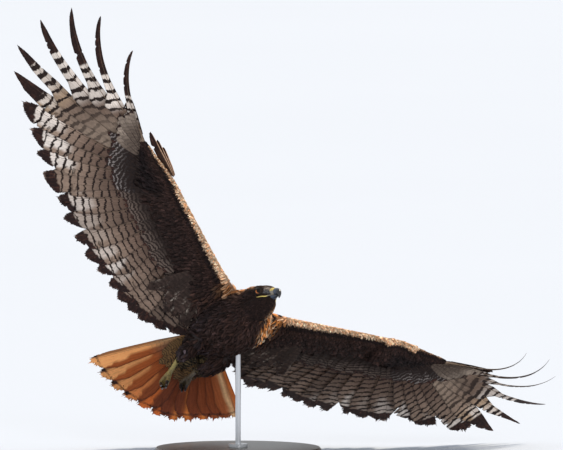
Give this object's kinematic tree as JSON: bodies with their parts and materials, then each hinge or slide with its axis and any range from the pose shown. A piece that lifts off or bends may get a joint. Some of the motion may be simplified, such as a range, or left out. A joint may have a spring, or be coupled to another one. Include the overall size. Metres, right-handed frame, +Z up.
{
  "type": "bird model on stand",
  "caption": "Life-size dark red-tailed hawk in a banking soar, wings and tail spread, held by a rod on a round base.",
  "frame": {"origin": "centre of the underside of the round stand base, at floor level", "axes": "+Z up; the camera of the picture looks along +Y; the bird faces right, towards the camera and up (+X, -Y, +Z)"},
  "size_m": [0.9753, 0.539, 0.8188],
  "materials": {
    "dark_coat": "short overlapping body feathers, dark chocolate brown with paler streaks",
    "flight_feathers": "wing quills, grey-brown with narrow dark bars and blackish tips",
    "tail_feathers": "rufous tail quills with a thin dark band near the tip",
    "eye": "dark polished eye",
    "horn": "blue-black bill and black claws, semi-gloss",
    "cere": "pale yellow waxy skin",
    "leg_skin": "yellow-olive scaled skin",
    "stand_wood": "dark stained turned wood, satin",
    "stand_steel": "brushed round bar"
  },
  "bodies": {
    "root": {"torso": "dark_coat", "neck": "dark_coat", "head": "dark_coat", "eye_R": "eye", "eye_L": "eye", "bill_upper": "horn", "cere": "cere", "bill_lower": "horn", "thigh_R": "dark_coat", "tarsus_R": "leg_skin", "foot_R": "leg_skin", "claw_R_1": "horn", "claw_R_2": "horn", "claw_R_3": "horn", "claw_R_4": "horn", "thigh_L": "dark_coat", "tarsus_L": "leg_skin", "foot_L": "leg_skin", "claw_L_1": "horn", "claw_L_2": "horn", "claw_L_3": "horn", "claw_L_4": "horn", "wing_R_arm": "flight_feathers", "wing_R_hand": "flight_feathers", "alula_R": "flight_feathers", "wing_L_arm": "flight_feathers", "wing_L_hand": "flight_feathers", "alula_L": "flight_feathers", "tail": "tail_feathers", "stand_base": "stand_wood", "stand_rod": "stand_steel"}
  },
  "joints": []
}
